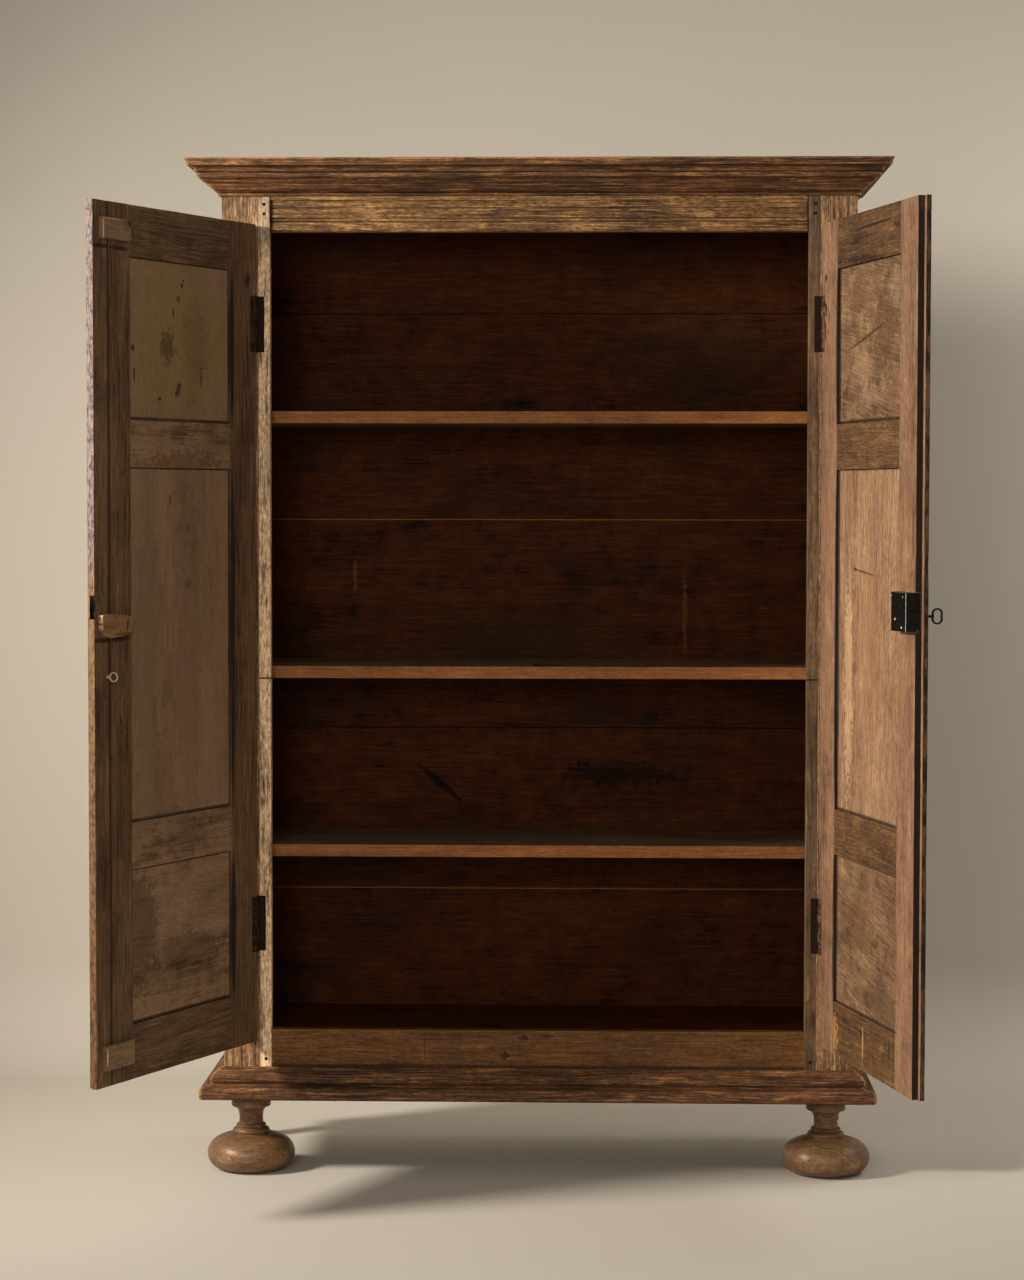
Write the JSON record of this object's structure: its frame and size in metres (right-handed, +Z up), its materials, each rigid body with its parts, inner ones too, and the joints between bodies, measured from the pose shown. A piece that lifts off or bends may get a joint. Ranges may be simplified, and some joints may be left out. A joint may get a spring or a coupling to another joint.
{
  "type": "two-door cupboard",
  "caption": "Tall wooden cupboard on turned feet, with framed panel doors, a moulded cornice, plank shelves, a box lock with its key and a hook for the inner door.",
  "frame": {"origin": "on the floor, under the middle of the whole cupboard with its doors open as at rest", "axes": "+Z up, the front faces -Y, +X to the viewer's right"},
  "size_m": [1.6097, 0.9574, 2.09],
  "materials": {
    "iron": "black, hand forged, worn",
    "moulding_wood": "dark reddish brown, worn to gold on the edges",
    "waxed_foot_wood": "waxed mid brown with wormholes",
    "dark_wood": "very dark reddish brown, unpolished",
    "shelf_wood": "orange brown edge, grey brown top",
    "grey_door_wood": "grey olive brown, bare and worn",
    "tan_door_wood": "pinkish tan, bare and worn",
    "frame_wood": "pale golden brown with dark grain streaks"
  },
  "bodies": {
    "carcass": {"back_boards": "dark_wood", "base_front": "moulding_wood", "base_left": "moulding_wood", "base_right": "moulding_wood", "bottom_rail": "frame_wood", "cornice_front": "moulding_wood", "cornice_left": "moulding_wood", "cornice_right": "moulding_wood", "floor_board": "dark_wood", "foot_front_left": "waxed_foot_wood", "foot_front_right": "waxed_foot_wood", "foot_rear_left": "dark_wood", "foot_rear_right": "dark_wood", "frieze": "frame_wood", "hinge_frame_leaves": "iron", "hinge_pins": "iron", "hook_pin": "iron", "post_front_left": "frame_wood", "post_front_right": "frame_wood", "post_rear_left": "dark_wood", "post_rear_right": "dark_wood", "shelf_cleats": "dark_wood", "shelf_lower": "shelf_wood", "shelf_middle": "shelf_wood", "shelf_upper": "shelf_wood", "side_left": "frame_wood", "side_right": "frame_wood", "strip_left_lower": "frame_wood", "strip_left_upper": "frame_wood", "strip_nails": "iron", "strip_right_lower": "frame_wood", "strip_right_upper": "frame_wood", "top_board": "frame_wood"},
    "left_door": {"left_door_edge_board": "grey_door_wood", "left_door_end_blocks": "grey_door_wood", "left_door_free_stile": "grey_door_wood", "left_door_hinge_leaves": "iron", "left_door_hinge_stile": "grey_door_wood", "left_door_keeper_block": "grey_door_wood", "left_door_mid_rails": "grey_door_wood", "left_door_panel_bottom": "grey_door_wood", "left_door_panel_middle": "grey_door_wood", "left_door_panel_top": "grey_door_wood", "left_door_rail_bottom": "grey_door_wood", "left_door_rail_top": "grey_door_wood", "left_door_screw_eye": "iron"},
    "right_door": {"right_door_free_stile": "tan_door_wood", "right_door_hinge_leaves": "iron", "right_door_hinge_stile": "tan_door_wood", "right_door_lock_case": "iron", "right_door_mid_rails": "tan_door_wood", "right_door_panel_bottom": "tan_door_wood", "right_door_panel_middle": "tan_door_wood", "right_door_panel_top": "tan_door_wood", "right_door_rail_bottom": "tan_door_wood", "right_door_rail_top": "tan_door_wood"},
    "key": {"key": "iron"},
    "lock_bolt": {"lock_bolt": "iron"},
    "shelf_hook": {"shelf_hook": "iron"}
  },
  "joints": [
    {"name": "left_door_hinge", "type": "hinge", "parent": "carcass", "child": "left_door", "pos_m": [-0.5455, 0.0932, 1.1], "axis": [0, 0, 1], "range_deg": [-6.7, 115.3]},
    {"name": "right_door_hinge", "type": "hinge", "parent": "carcass", "child": "right_door", "pos_m": [0.6165, 0.0932, 1.1], "axis": [0, 0, 1], "range_deg": [-103.5, 18.5]},
    {"name": "key_turn", "type": "hinge", "parent": "right_door", "child": "key", "pos_m": [0.73677, -0.42875, 1.181], "axis": [0.9724, 0.2334, 0], "range_deg": [0, 360]},
    {"name": "bolt_slide", "type": "slide", "parent": "right_door", "child": "lock_bolt", "axis": [0.2334, -0.9724, 0], "range_m": [0, 0.012]},
    {"name": "hook_swing", "type": "hinge", "parent": "carcass", "child": "shelf_hook", "pos_m": [0.0315, 0.1557, 1.053], "axis": [0, 0, 1], "range_deg": [-127, 90]}
  ],
  "couplings": [
    {"joint": "key_turn", "follows": "bolt_slide", "rad_per_m": 523.5}
  ]
}
